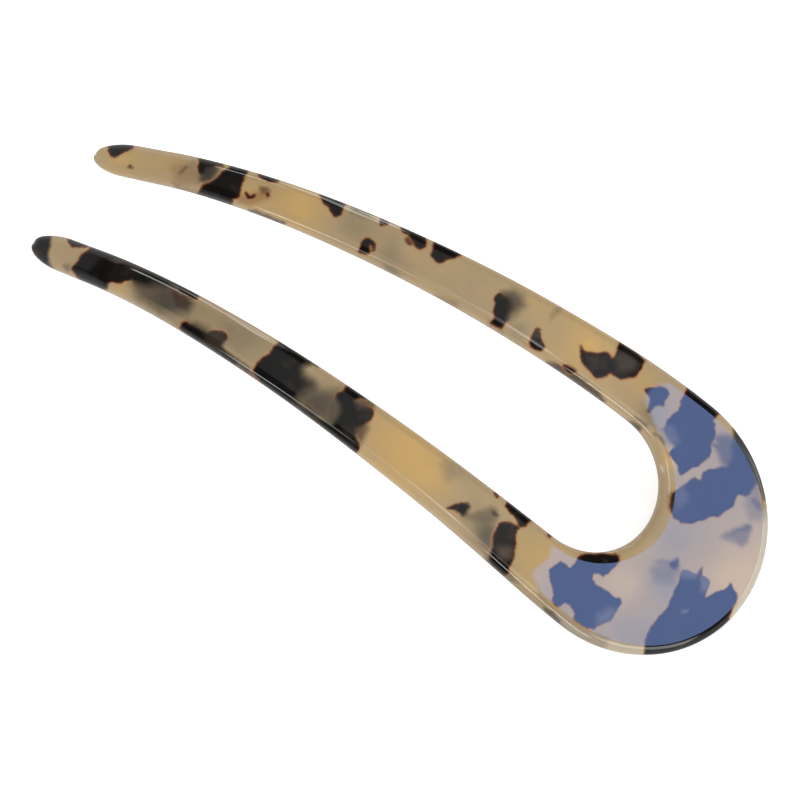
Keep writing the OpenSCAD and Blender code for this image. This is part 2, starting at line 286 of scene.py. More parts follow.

# Translucent smoky grey, and in a few places grey painted as shade and as reflection on walls and bevels:
# its density, then an outline as above
SMOKE_SHADE_AND_REFLECTION = {
    "near_tip_ghost": (0.45, [(62, 265, 2), (70, 263.5), (71.5, 270), (66, 272)]),
    "near_tip_wall": (0.4, [(36, 262, 3), (60, 272), (78, 281), (74, 288), (52, 280), (38, 272)]),
    "near_tip_haze": (
        0.6, [(130, 282, 8), (150, 280), (175, 288), (190, 298), (186, 312), (160, 312), (138, 300)]),
    "near_top_haze": (0.85, [(170, 288, 5), (188, 294), (194, 303), (188, 312, 6), (172, 309)]),
    "near_low_haze": (0.45, [(186, 323, 3), (196, 321, 5), (210, 327), (211, 336), (198, 334)]),
    # Painted shade: darker grey along the near leg's outer wall, which faces away from the light
    "near_wall_painted_shade": (
        0.4, [(176, 324, 3), (200, 336), (225, 351), (250, 367), (264, 377), (262, 386), (240, 377),
              (205, 357), (180, 340)]),
    "near_middle_haze": (0.6, [(300, 376, 6), (314, 380), (322, 392), (318, 402), (298, 402)]),
    "near_middle_green": (0.65, [(300, 394, 7), (340, 388), (346, 426, 3), (330, 422), (304, 414)]),
    "near_second_left": (0.75, [(328, 401, 6), (346, 388), (346, 428, 3), (326, 421)]),
    # Painted shade, darker still, along the same outer wall
    "near_wall_painted_shade_dark": (0.85, [(220, 347, 2.5), (240, 361), (257, 373), (262, 386), (236, 370), (221, 359)]),
    "near_wall_painted_shade_joint": (0.85, [(298, 403, 2.5), (328, 422), (328, 433), (312, 426), (298, 416)]),
    "near_second_bevel": (0.7, [(349, 388, 2), (362, 393), (376, 401), (374, 411, 2.5), (355, 411)]),
    "near_second_foot": (0.7, [(353, 424, 4), (368, 419), (369, 430), (360, 446)]),
    "near_root_smudge": (0.22, [(440, 464, 6), (452, 462), (458, 474), (446, 482)]),
    "near_root_tail": (
        0.5, [(461, 513, 3), (472, 513, 4), (484, 510), (492, 506), (498, 510, 3), (498, 516),
              (495, 522, 5), (486, 526, 6), (475, 522), (464, 518, 4)]),
    "near_root_tail_end": (0.85, [(491, 510.5, 2), (496, 510.5), (499, 515), (496, 518), (491, 516)]),
    "near_root_side": (0.45, [(480, 522, 6), (494, 524, 4), (493, 548), (486, 556, 6), (481, 540)]),
    "near_root_wall": (0.45, [(478, 526, 8), (492, 530), (490, 556), (480, 546)]),
    "near_root_foot": (0.5, [(484, 550, 4), (500, 566), (512, 576), (512, 584), (498, 576), (484, 562)]),
    "near_root_end": (0.6, [(500, 566, 3), (512, 573), (520, 584), (508, 583), (498, 572)]),
    "near_outer_wall": (
        0.35, [(505, 572, 4), (530, 592), (552, 610), (548, 620), (520, 598), (502, 582)]),
    "far_tip_line": (0.6, [(179, 173, 2), (182, 169), (186, 165.5, 1.5), (188.5, 167), (185, 170),
                           (181, 175, 2)]),
    "far_tip_rim": (
        0.3, [(171, 181, 1.5), (174, 182), (177, 185), (190, 189), (200, 191), (198, 196), (180, 191),
               (173, 186)]),
    "far_fading_haze": (0.8, [(200, 162, 3), (217, 163.5), (221, 167), (215, 176), (206, 183), (199, 181)]),
    "far_dot_haze": (0.5, [(259.5, 187, 2.5), (267, 187), (271, 191), (267, 195), (261, 194)]),
    "far_dot_core": (0.5, [(261, 189, 1.8), (264, 189), (264, 192.3), (261, 192.3)]),
    "far_low_rim": (
        0.85, [(248, 209, 1.3), (255, 210, 1.5), (265, 214), (275, 218), (286, 223), (282, 228),
               (262, 220), (249, 214)]),
    "far_top_smoke": (0.5, [(352, 204, 3), (363, 206), (375, 212), (373, 219, 4), (360, 216), (351, 213)]),
    "far_middle_haze": (
        0.8, [(500, 291, 3), (514, 290, 6), (523, 296, 7), (525, 305), (518, 313), (508, 320), (500, 312)]),
    "far_smudge": (0.35, [(556, 308, 3), (562, 307), (561, 312, 4), (553, 319), (549, 321, 3), (551, 313)]),
    "far_gap_grey": (0.4, [(384, 264, 3), (398, 271), (400, 277), (386, 271)]),
    "far_gap_grey_middle": (0.4, [(435, 294, 3), (457, 303), (458, 309), (436, 300)]),
    "far_gap_grey_right": (0.35, [(488, 320, 3), (503, 328), (504, 334), (489, 327)]),
    "far_low_band": (
        0.85, [(546, 361, 2), (555, 363, 3), (563, 366, 2.5), (572, 370), (582, 378, 3), (590, 385),
               (598, 391), (606, 401, 2), (600, 404), (580, 391), (560, 377), (548, 367)]),
    "far_root_band": (
        0.85, [(625, 420, 2.5), (632, 421, 2), (638, 424.5, 1.8), (642, 428, 1.5), (640, 432),
               (635, 429, 2), (628, 424)]),
    "gap_line": (0.6, [(634, 414, 1.5), (648, 424.5), (648, 428), (634, 418)]),
    "gap_line_low": (0.6, [(654, 430, 1.5), (666, 441), (665, 444.5), (654, 434)]),
    "crown_upper_veil": (0.5, [(660, 429, 4), (670, 427), (680, 440), (676, 446), (666, 440)]),
    "crown_veil": (
        0.75, [(714, 436, 5), (727, 434), (738, 437), (738, 456), (731, 466), (722, 466), (717, 452)]),
    "crown_veil_streak": (
        0.8, [(711, 442.5, 1.5), (718, 445), (721.5, 450), (723, 458, 2.5), (719.5, 457), (717, 449.5),
              (712, 446)]),
    "crown_spot": (0.7, [(750, 497, 3), (757, 496, 4), (762, 503, 3), (763, 512, 4), (756, 512, 5),
                         (750, 504, 4)]),
    "crown_spot_haze": (
        0.4, [(746, 488, 5), (759, 481), (766, 492), (766, 518, 6), (750, 522), (744, 505)]),
    "crown_comet": (
        0.6, [(720, 537, 3), (726, 532, 4), (733, 529), (740, 526), (748, 523.5, 3), (752, 525, 1.5),
              (753, 528), (751, 532, 2), (749, 537, 3), (748, 543), (742, 547), (733, 542, 6),
              (728, 540, 5), (722, 538.5, 3)]),
    "crown_comet_core": (
        0.8, [(723, 535, 2.5), (735, 529, 3), (748, 524, 2), (752, 526, 1.5), (750, 531, 2.5),
              (738, 533, 3), (727, 536, 2.5)]),
    "crown_smudge": (
        0.95, [(668, 563, 3), (674, 560, 2.5), (678, 557, 1.3), (679.5, 560), (679, 565, 2), (676, 570, 3),
               (671, 570, 4), (668, 567)]),
    "crown_smudge_wisp": (0.45, [(652, 561, 2.5), (662, 559), (672, 560), (672, 566), (660, 565)]),
    "crown_smudge_haze": (
        0.42, [(650, 568, 5), (662, 562), (678, 562), (680, 571, 4), (672, 584, 7), (654, 582)]),
    "crown_wall_streak": (0.85, [(543, 605, 2), (552, 611), (562, 621), (560, 626), (550, 619), (543, 611)]),
    # Painted reflection: the crown's lower left bevel and wall greyed where the floor shows in them
    "crown_bevel_painted_reflection": (
        0.35, [(538, 590, 3), (553, 604), (575, 621.5), (592, 631), (610, 638), (606, 646), (580, 634),
               (556, 618), (536, 600)]),
    "crown_wall_painted_reflection": (
        0.5, [(552, 613, 3), (572, 629), (590, 637, 6), (606, 644), (606, 656), (590, 648, 3), (568, 638),
              (552, 624)]),
}

# Reddish brown, where a patch is thin enough for light to pass: its density, then an outline
BROWN = {
    "far_tip_spot": (
        0.95, [(127.6, 166.8, 0.9), (129.8, 163.8), (132, 165.4), (134.2, 170.4), (131.6, 168.8)]),
    "far_dot_side": (0.5, [(259.5, 187, 2), (267, 187), (271, 191), (267, 195), (261, 194)]),
    "far_tick_side": (0.4, [(238, 196, 4), (262, 190), (268, 199), (250, 206), (238, 202)]),
    "far_tip_side": (0.28, [(170, 166, 5), (196, 160), (198, 182), (176, 186)]),
    "far_heart_side": (
        0.95, [(405.3, 238, 1.3), (409, 235.4), (412.5, 239), (415, 244), (411, 246, 1.3), (407.5, 245.2),
              (405, 242)]),
    "far_bracket_side": (0.8, [(432.5, 245, 1.5), (438, 246, 2), (440, 256), (433, 256, 1.5)]),
    "near_small_side": (0.15, [(200, 306, 6), (225, 312), (232, 330), (208, 326)]),
    "near_low_side": (0.3, [(188, 321, 4), (206, 324), (208, 332, 3), (190, 327)]),
    "near_top_side": (0.35, [(172, 290, 4), (190, 300), (186, 304, 5), (170, 296)]),
    "near_second_notch": (0.4, [(353, 401, 3), (368, 404), (368, 411), (355, 409)]),
    "near_second_low": (0.4, [(353, 426, 3), (364, 422), (363, 436), (356, 442)]),
    "crown_middle_side": (0.8, [(669, 495, 1.3), (673, 492), (674, 515), (670, 512), (667.5, 504)]),
    "crown_near_end": (0.7, [(614, 553.5, 1.5), (620, 555), (619, 562), (613, 560)]),
}

# Painted reflection, pinkish grey, along the rounded edges at the end of the crown: its strength, then an
# outline as above
PAINTED_EDGE_REFLECTION = {
    "crown_right": (
        0.9, [(752, 512, 5), (764, 508, 3), (776, 520), (772, 560), (758, 600), (735, 625), (704, 648),
              (696, 642), (716, 626), (736, 606, 4), (748, 580), (756, 548)]),
    "crown_left": (
        0.4, [(556, 612, 5), (580, 628), (612, 641), (646, 646), (646, 660), (600, 652), (556, 628)]),
}

# Soft changes of the ground tone: x, y, radius in pixels of the photograph, and strength, warm above
# nought and grey or cool below it
TONES = {
    "near_amber": (402, 450, 46, 0.85), "near_amber_end": (432, 478, 26, 0.4),
    "near_tip_brown": (121, 288, 9, 0.7),
    "near_root_amber": (541, 553, 24, 0.4), "near_root_amber_low": (533, 590, 16, 0.3),
    "near_grey": (165, 303, 26, -1.0), "near_mid_grey": (318, 402, 20, -0.8),
    "near_root_grey": (484, 536, 20, -0.7), "near_pale": (236, 331, 36, -0.5),
    "near_grey_high": (456, 470, 14, -0.4),
    "far_amber": (296, 208, 34, 0.8), "far_tip_amber": (118, 162, 18, 0.6),
    "far_tip_warm": (160, 166, 34, 0.35),
    "far_tip_brown": (252, 200, 14, 0.8), "far_root_amber": (590, 341, 33, 0.7),
    "far_root_amber_edge": (643, 384, 14, 0.35), "far_butterfly_glow": (590, 349, 7, 0.9),
    "far_mid_amber": (540, 300, 22, 0.4), "far_heart_amber": (412, 252, 14, 0.4),
    "far_grey": (357, 221, 22, -0.4), "far_tip_grey": (208, 174, 11, -1.0),
    "far_mid_grey": (395, 261, 22, -0.5),
    "far_low_grey": (519, 335, 13, -0.5), "gap_amber": (671, 460, 9, 1.0),
    "crown_warm": (742, 575, 44, 1.0), "crown_warm_left": (622, 585, 26, 0.6),
    "crown_warm_side": (715, 548, 24, -0.25), "crown_cool_low": (632, 632, 26, -0.6),
    "crown_cool_left": (668, 585, 20, -0.8), "crown_cool_gap": (676, 540, 18, -0.6),
    "crown_cool_top": (657, 417, 16, -0.8),
}

# The broad flat face of the crown, where a blue reflection is painted over the ground and the patches: the
# ground greyish violet, the patches blue
BLUE_REFLECTION_OUTLINE = [
    (553, 541, 2.5), (551, 549), (550, 556), (545, 562), (538, 567), (533, 571), (533, 577), (537, 584),
    (539, 591), (543, 600), (548, 606), (560, 660, 3), (640, 720), (800, 700), (820, 480), (720, 360),
    (676, 378, 3), (663, 384, 2.5), (655, 386), (648, 391), (645.5, 396), (646, 403), (648.5, 410),
    (652, 418), (655.5, 426), (660, 434), (665, 443, 2.5), (666, 460), (668, 490), (670, 510, 3),
    (663, 524, 4), (652, 538), (640, 547), (620, 553, 3), (600, 552), (565, 535)]

# How the edge of a patch wanders, in pixels: reach and length of each wave, and then, for the waves
# that move it in x and in y, their slant, and how far and how slowly they sway
WANDER = ((0.35, 11.0), (0.2, 4.6))
WAVE_X = (0.83, 0.31, 1.7, 0.37)
WAVE_Y = (0.77, -0.29, 1.9, 0.41)

# Shade of what lies far outside an outline, and how far its fade is followed, in times its blur
FAR_OUTSIDE = -12.0
FADE_REACH = 8


def leg_curve(share, column):
    """Smooth curve through one column of the leg table, level where the leg leaves the crown."""
    value = LEG_ROWS[:, column]
    slope = np.gradient(value)
    slope[0] = 0
    spans = len(LEG_ROWS) - 1
    x = np.clip(share, 0, 1) * spans
    i = np.minimum(x.astype(int), spans - 1)
    f = x - i
    return (
        (2 * f**3 - 3 * f**2 + 1) * value[i]
        + (f**3 - 2 * f**2 + f) * slope[i]
        + (3 * f**2 - 2 * f**3) * value[i + 1]
        + (f**3 - f**2) * slope[i + 1]
    )


def half_width(u, edge):
    """Distance of a leg's edge from the middle line, at length u along the pin."""
    if edge == OUTER:
        share = (u - CROWN_ROUND) / (PIN_LENGTH - CROWN_ROUND)
        return TIP_HALF + (CROWN_HALF - TIP_HALF) * leg_curve(share, OUTER)
    tip_inner = TIP_HALF - TIP_WIDTH
    share = (u - GAP_START) / (PIN_LENGTH - GAP_START)
    return tip_inner + (GAP_HALF - tip_inner) * leg_curve(share, INNER)


def outline_point(s, edge):
    """Flat outline at stations s: 0 to 1 round the crown, 1 to 2 along the leg, 2 to 3 round the tip."""
    a = np.clip(s, -1, 1) * math.pi / 2
    if edge == OUTER:
        start, crown = CROWN_ROUND, (CROWN_ROUND * (1 - np.cos(a)), CROWN_HALF * np.sin(a))
    else:
        start, crown = GAP_START, (CROWN_BAND + GAP_ROUND * (1 - np.cos(a)), GAP_HALF * np.sin(a))
    u_leg = start + (np.clip(s, 1, 2) - 1) * (TIP_START - start)
    b = np.clip(s - 2, 0, 1) * math.pi / 2
    u_tip = TIP_START + TIP_ROUND * np.sin(b)
    outer, inner = half_width(u_tip, OUTER), half_width(u_tip, INNER)
    half = (outer - inner) / 2 * np.cos(b) * (1 if edge == OUTER else -1)
    u = np.where(s < 1, crown[0], np.where(s < 2, u_leg, u_tip))
    v = np.where(s < 1, crown[1], np.where(s < 2, half_width(u_leg, edge), (outer + inner) / 2 + half))
    return np.stack([u, v], -1)


def outward(s, edge):
    """Direction straight out of the material at an outline point."""
    along = outline_point(np.minimum(s + SHORT_WAY, 3), edge) - outline_point(s - SHORT_WAY, edge)
    side = 1 if edge == OUTER else -1
    n = np.stack([-along[:, 1] * side, along[:, 0] * side], -1)
    return n / np.linalg.norm(n, axis=1, keepdims=True)


def height_at(u):
    """Height of the pin at length u, thinned towards the tips and rounded off at their very ends."""
    taper = np.maximum(0, (u - PIN_LENGTH + TIP_TAPER) / TIP_TAPER)
    ending = np.clip((u - PIN_LENGTH + END_ROUND) / END_ROUND, 0, 1)
    return (THICKNESS - (THICKNESS - TIP_THICKNESS) * taper**2) * np.sqrt(1 - ending**2)


def crease_at(u):
    """Slope with which the rounded edge starts at the face."""
    low, high = CREASE_FADES
    f = np.clip((u - low) / (high - low), 0, 1)
    return CREASE * (1 - f * f * (3 - 2 * f))


def edge_points(s, edge):
    """Points of one edge at all stations, from the top face round the wall to the underside."""
    p, n = outline_point(s, edge), outward(s, edge)
    half_band = np.linalg.norm(outline_point(s, OUTER) - outline_point(s, INNER), axis=1) / 2
    wanted = EDGE_INSET + (GAP_INSET - EDGE_INSET) * np.maximum(0, 1 - s) * (edge == INNER)
    inset = np.minimum(wanted, MOST_OF_WIDTH * half_band)
    half = height_at(p[:, 0]) / 2
    drop = np.minimum(EDGE_DROP, MOST_OF_HEIGHT * half)
    first = crease_at(p[:, 0])
    top = []
    for i in range(ROUND_STEPS + 1):
        a = first + (math.pi / 2 - first) * i / ROUND_STEPS
        reach = inset * (1 - (np.sin(a) - np.sin(first)) / (1 - np.sin(first)))
        fall = drop * (np.cos(first) - np.cos(a)) / np.cos(first)
        q = p - n * reach[:, None]
        top.append(np.stack([q[:, 0], q[:, 1], half - fall], -1))
    under = [q * (1, 1, -1) for q in reversed(top)]
    wall = between(top[-1], under[0], WALL_STEPS)
    return top + wall + under


def between(a, b, steps):
    """Rows of points between two rows, spread evenly."""
    return [a + (b - a) * i / steps for i in range(1, steps)]


def bent(flat):
    """Flat points laid on the bend, with lengths kept on the outer face."""
    u, v, w = flat[..., 0], flat[..., 1], flat[..., 2]
    turn = np.clip((u - CROWN_FLAT) / BEND_RADIUS, 0, BEND_ANGLE)
    before, after = np.minimum(u, CROWN_FLAT), np.maximum(0, u - CROWN_FLAT - BEND_RUN)
    rise = w - THICKNESS / 2
    x = before + BEND_RADIUS * np.sin(turn) + after * np.cos(turn) + rise * np.sin(turn)
    z = -BEND_RADIUS * (1 - np.cos(turn)) - after * np.sin(turn) + rise * np.cos(turn)
    return np.stack([x, v, z], -1)


def turned(p, a):
    """Points turned about the Y axis."""
    x, y, z = p[..., 0], p[..., 1], p[..., 2]
    return np.stack([x * math.cos(a) - z * math.sin(a), y, z * math.cos(a) + x * math.sin(a)], -1)


def laid_level(p):
    """The bent pin turned until the end of its crown and its tips lie on one level."""
    flat_points = p.reshape(-1, 3)
    crown = flat_points[:, 0] < CROWN_FLAT
    low, high = 0.0, BEND_ANGLE
    for _ in range(LEVEL_STEPS):
        a = (low + high) / 2
        z = turned(flat_points, a)[:, 2]
        if z[crown].min() > z[~crown].min():
            low = a
        else:
            high = a
    return turned(p, a)


def fitted(p, box):
    """Points in metres with their middle and underside on the box's, and no larger than the box."""
    low, high = np.array(box[0]), np.array(box[1])
    p = p * MM
    p_low, p_high = p.reshape(-1, 3).min(0), p.reshape(-1, 3).max(0)
    share = min(1.0, *((high - low) / (p_high - p_low)))
    foot = np.array([(p_low[0] + p_high[0]) / 2, (p_low[1] + p_high[1]) / 2, p_low[2]])
    box_foot = np.array([(low[0] + high[0]) / 2, (low[1] + high[1]) / 2, low[2]])
    return (p - foot) * share + box_foot


def stations():
    """Stations of the rings from the middle of the crown to just before the end of a tip."""
    counts = enumerate((CROWN_RINGS, LEG_RINGS, TIP_RINGS))
    return np.concatenate([np.linspace(i, i + 1, count, endpoint=False) for i, count in counts])


def pin_rings():
    """Rings of flat points along one half of the pin, and the point of a ring where its top face starts."""
    s = stations()
    outer, inner = edge_points(s, OUTER), edge_points(s, INNER)
    rows = (
        outer
        + between(outer[-1], inner[-1], UNDER_STEPS)
        + list(reversed(inner))
        + between(inner[0], outer[0], FACE_STEPS)
    )
    inner_line = len(rows) - FACE_STEPS
    return np.stack(rows, 1), inner_line


def pin_mesh(box):
    """The pin's points in metres, its faces, which of them are its top, and a ring's size and face line."""
    half, inner_line = pin_rings()
    size = half.shape[1]
    flat = np.concatenate([half[:0:-1] * (1, -1, 1), half])
    tip = outline_point(np.array([3.0]), OUTER)[0]
    ends = np.array([[tip[0], -tip[1], 0], [tip[0], tip[1], 0]])
    points = fitted(laid_level(bent(np.concatenate([flat.reshape(-1, 3), ends]))), box)

    ring = np.arange(len(flat) - 1)[:, None]
    i = np.arange(size)[None, :]
    a = ring * size + i
    b = ring * size + (i + 1) % size
    quads = np.stack([a, a + size, b + size, b], -1).reshape(-1, 4)
    on_face = np.broadcast_to(i >= inner_line, a.shape).reshape(-1)
    first, last = np.arange(size), (len(flat) - 1) * size + np.arange(size)
    apex = len(flat) * size
    fans = [(apex, f, g) for f, g in zip(first, np.roll(first, -1))]
    fans += [(apex + 1, g, f) for f, g in zip(last, np.roll(last, -1))]
    faces = quads.tolist() + fans
    on_face = np.concatenate([on_face, np.zeros(len(fans), bool)])
    return points, faces, on_face, size, inner_line


def camera_axes():
    """Right, up and backward directions of the photograph's camera."""
    back = np.array([
        math.cos(CAMERA_ELEVATION) * math.cos(CAMERA_AZIMUTH),
        math.cos(CAMERA_ELEVATION) * math.sin(CAMERA_AZIMUTH),
        math.sin(CAMERA_ELEVATION),
    ])
    level_right = np.array([-math.sin(CAMERA_AZIMUTH), math.cos(CAMERA_AZIMUTH), 0.0])
    level_up = np.cross(back, level_right)
    up = math.sin(CAMERA_ROLL) * level_right + math.cos(CAMERA_ROLL) * level_up
    return np.cross(up, back), up, back


def photo_pixels(points):
    """Where points, in metres, lie in the photograph, in pixels from its top left corner."""
    right, up, back = camera_axes()
    p = points / MM - CAMERA_AIM
    depth = CAMERA_DISTANCE - p @ back
    middle = FRAME_PX / 2
    x = middle + CAMERA_FOCAL_PX * (p @ right) / depth
    y = middle - CAMERA_FOCAL_PX * (p @ up) / depth
    return np.stack([x, y], -1)


def wave(k, along, across, shape):
    """Height of a slanting wave that sways from side to side."""
    slant, cross_slant, sway, slow = shape
    return np.sin(k * (slant * along + cross_slant * across) + sway * np.sin(k * slow * across))


def wandered(p):
    """Pixels moved by small waves, so that no charted edge stays straight."""
    x, y = p[:, 0], p[:, 1]
    dx, dy = np.zeros(len(p)), np.zeros(len(p))
    for reach, length in WANDER:
        k = 2 * math.pi / length
        dx += reach * wave(k, y, x, WAVE_X)
        dy += reach * wave(k, x, y, WAVE_Y)
    return p + np.stack([dx, dy], -1)


def full_rows(outline):
    """Outline rows with the blur carried on to the points that don't state one."""
    rows, blur = [], 1.0
    for row in outline:
        blur = row[2] if len(row) > 2 else blur
        rows.append((row[0], row[1], blur))
    return np.array(rows)


def shade_of(p, outline):
    """For pixels near an outline: 1 well inside, 0 well outside, unclipped, and the blur there.

    Inside, the side that fades the most counts, so that a crisp side and a soft one meet without a step.
    """
    rows = full_rows(outline)
    value = np.full(len(p), FAR_OUTSIDE)
    blur = np.ones(len(p))
    reach = FADE_REACH * rows[:, 2].max()
    low, high = rows[:, :2].min(0) - reach, rows[:, :2].max(0) + reach
    near = np.flatnonzero(((p > low) & (p < high)).all(1))
    q = p[near]
    nearest, soft_out = np.full(len(near), np.inf), np.ones(len(near))
    least, soft_in = np.full(len(near), np.inf), np.ones(len(near))
    inside = np.zeros(len(near), bool)
    for a, b in zip(rows, np.roll(rows, -1, 0)):
        d = b[:2] - a[:2]
        t = np.clip((q - a[:2]) @ d / (d @ d), 0, 1)
        away = np.linalg.norm(q - a[:2] - t[:, None] * d, axis=1)
        soft = a[2] + (b[2] - a[2]) * t
        closer = away < nearest
        nearest = np.where(closer, away, nearest)
        soft_out = np.where(closer, soft, soft_out)
        softer = away / soft < least
        least = np.where(softer, away / soft, least)
        soft_in = np.where(softer, soft, soft_in)
        crosses = (a[1] > q[:, 1]) != (b[1] > q[:, 1])
        with np.errstate(divide="ignore", invalid="ignore"):
            x_cross = a[0] + (q[:, 1] - a[1]) * d[0] / d[1]
        inside ^= crosses & (q[:, 0] < x_cross)
    signed = np.where(inside, least, -nearest / soft_out)
    value[near] = np.clip(0.5 + signed / 2, FAR_OUTSIDE, -FAR_OUTSIDE)
    blur[near] = np.where(inside, soft_in, soft_out)
    return value, blur


def layered(p, layer):
    """Densest of several soft outlines at each pixel, from 0 to 1."""
    result = np.zeros(len(p))
    for density, outline in layer.values():
        value = np.clip(shade_of(p, outline)[0], 0, 1)
        result = np.maximum(result, density * value * value * (3 - 2 * value))
    return result


def pattern(pixels):
    """The tortoiseshell at each pixel, as named numbers for the material."""
    p = wandered(pixels)
    dark, blur = np.full(len(p), FAR_OUTSIDE), np.ones(len(p))
    for outline in DARK.values():
        value, soft = shade_of(p, outline)
        blur = np.where(value > dark, soft, blur)
        dark = np.maximum(dark, value)
    tone = np.zeros(len(p))
    for x, y, radius, strength in TONES.values():
        tone += strength * np.exp(-((p[:, 0] - x) ** 2 + (p[:, 1] - y) ** 2) / radius**2)
    return {
        "dark": dark,
        "blur": blur,
        "smoke_shade_and_reflection": layered(p, SMOKE_SHADE_AND_REFLECTION),
        "brown": layered(p, BROWN),
        "thin": layered(p, THIN),
        # The pale share: where the reflection is painted on the crown's rounded edges
        "pale": layered(p, PAINTED_EDGE_REFLECTION),
        "tone": np.clip(tone, -1, 1),
        "blue_reflection_mask": np.clip(shade_of(p, BLUE_REFLECTION_OUTLINE)[0], 0, 1),
    }


def make_pin(box):
    """The pin as one smooth mesh that carries its pattern."""
    points, faces, on_face, size, inner_line = pin_mesh(box)
    mesh = bpy.data.meshes.new("polished_pin")
    mesh.from_pydata(points.tolist(), [], faces)
    mesh.shade_smooth()

    ends = np.empty(len(mesh.edges) * 2, int)
    mesh.edges.foreach_get("vertices", ends)
    ends = ends.reshape(-1, 2)
    along = abs(ends[:, 0] - ends[:, 1]) == size
    on_line = np.isin(ends[:, 0] % size, (OUTER_LINE, inner_line))
    sharp = mesh.attributes.new("sharp_edge", "BOOLEAN", "EDGE")
    sharp.data.foreach_set("value", along & on_line)

    for name, values in pattern(photo_pixels(points)).items():
        attribute = mesh.attributes.new(name, "FLOAT", "POINT")
        attribute.data.foreach_set("value", values.astype(np.float32))
    corners = [len(f) for f in faces]
    face_part = mesh.attributes.new("face_part", "FLOAT", "CORNER")
    face_part.data.foreach_set("value", np.repeat(on_face, corners).astype(np.float32))

    pin = bpy.data.objects.new("polished_pin", mesh)
    bpy.context.scene.collection.objects.link(pin)
    return pin


def linear(red, green, blue):
    """The light of an sRGB colour, whose parts run from 0 to 255."""
    def light(c):
        c /= 255
        return c / 12.92 if c <= 0.04045 else ((c + 0.055) / 1.055) ** 2.4
    return (light(red), light(green), light(blue), 1.0)


# Sockets of a Mix node that take its two colours
MIX_A = 6
MIX_B = 7


class Nodes:
    """Short names for the shader nodes that the materials are made of."""

    def __init__(self, tree):
        self.tree = tree
        tree.nodes.clear()

    def add(self, kind, **values):
        node = self.tree.nodes.new(kind)
        for key, value in values.items():
            setattr(node, key, value)
        return node

    def put(self, value, socket):
        if isinstance(value, bpy.types.NodeSocket):
            self.tree.links.new(value, socket)
        else:
            socket.default_value = value

    def attribute(self, name):
        return self.add("ShaderNodeAttribute", attribute_name=name).outputs["Fac"]

    def math(self, operation, a, b):
        node = self.add("ShaderNodeMath", operation=operation)
        self.put(a, node.inputs[0])
        self.put(b, node.inputs[1])
        return node.outputs[0]

    def times(self, a, b):
        return self.math("MULTIPLY", a, b)

    def minus(self, a, b):
        return self.math("SUBTRACT", a, b)

    def slope(self, value, low, high, to_low=0.0, to_high=1.0, kind="LINEAR"):
        node = self.add("ShaderNodeMapRange", interpolation_type=kind)
        for socket, given in zip(node.inputs, (value, low, high, to_low, to_high)):
            self.put(given, socket)
        return node.outputs[0]

    def ramp(self, *values):
        return self.slope(*values, kind="SMOOTHSTEP")

    def mix(self, share, a, b):
        node = self.add("ShaderNodeMix", data_type="RGBA")
        self.put(share, node.inputs[0])
        self.put(a, node.inputs[MIX_A])
        self.put(b, node.inputs[MIX_B])
        return node.outputs[2]

    def noise(self, grain):
        scale, detail = grain
        node = self.add("ShaderNodeTexNoise")
        self.put(self.add("ShaderNodeTexCoord").outputs["Object"], node.inputs["Vector"])
        node.inputs["Scale"].default_value = scale
        node.inputs["Detail"].default_value = detail
        return node.outputs[0]

    def shade(self, **values):
        """The surface of a material: a shader whose sockets get these values."""
        shader = self.add("ShaderNodeBsdfPrincipled")
        for name, value in values.items():
            self.put(value, shader.inputs[name.replace("_", " ")])
        self.put(shader.outputs[0], self.add("ShaderNodeOutputMaterial").inputs["Surface"])


# Colours of the acetate, and of the light and reflection painted on it
CREAM = linear(148, 129, 97)
AMBER = linear(174, 142, 87)
GREY = linear(96, 88, 74)
# A paler, greyer cream painted on the rounded edges and walls, for light that passes through them
PAINTED_LIGHT_EDGE_CREAM = linear(156, 137, 110)
# Pinkish grey of the reflection painted on the crown's rounded end edges
PAINTED_EDGE_REFLECTION_GREY = linear(166, 160, 148)
# Grey of smoky patches, also used for painted shade and reflection on some walls
SMOKE_SHADE_AND_REFLECTION_GREY = linear(40, 34, 34)
BLACK = linear(17, 16, 15)
BLACK_WORN = linear(36, 31, 26)
RUST = linear(84, 44, 25)
RUST_GLOW = linear(158, 106, 66)
RUST_DEEP = linear(52, 20, 8)
RED_BROWN = linear(74, 32, 17)
THIN_BROWN = linear(72, 60, 50)
# The crown's flat face with a blue reflection painted on: its ground, warm and cool, its dark parts, their
# thin parts and their rims
CREAM_IN_BLUE_REFLECTION = linear(146, 138, 138)
AMBER_IN_BLUE_REFLECTION = linear(172, 155, 141)
GREY_IN_BLUE_REFLECTION = linear(130, 131, 142)
DARK_IN_BLUE_REFLECTION = linear(70, 83, 117)
THIN_DARK_IN_BLUE_REFLECTION = linear(114, 120, 146)
RIM_IN_BLUE_REFLECTION = linear(112, 78, 94)

# Grain of the acetate: waves per metre, and detail
CLOUDS = (170.0, 3.0)
STREAKS = (800.0, 2.0)
RAGS = (2600.0, 2.0)
RIM_GAPS = (330.0, 1.0)
WEAR = (420.0, 2.0)
GLOSS_GRAIN = (500.0, 3.0)
POLISH_WAVES = (260.0, 1.0)

# How a grain is read: between which heights it counts, and what those two stand for
UNEVEN = (0.3, 0.62, 0.45, 1.0)
WORN = (0.52, 0.75, 0.0, 0.8)
GLOSS = (0.35, 0.7, 0.07, 0.10)

# How much of each the ground and the patches show
CLOUD_SHARE = 0.7
STREAK_SHARE = 0.2
EDGE_SHARE = 0.35
RAG_REACH = 0.8
HALO_SHARE = 0.5
RIM_SHARE = 0.85
RIM_IN_BLUE_REFLECTION_SHARE = 0.55
DEEP_SHARE = 0.55

# In pixels of the photograph: the least blur, the blur at which the rims are gone and whole, and
# between what distances out of a patch its halo, its rim and its deep rust inside run
LEAST_BLUR = 0.9
CRISP = (3.6, 1.4)
HALO = (4.5, 0.3)
RIM = (2.1, 0.7)
DEEP = (-2.4, -0.4)


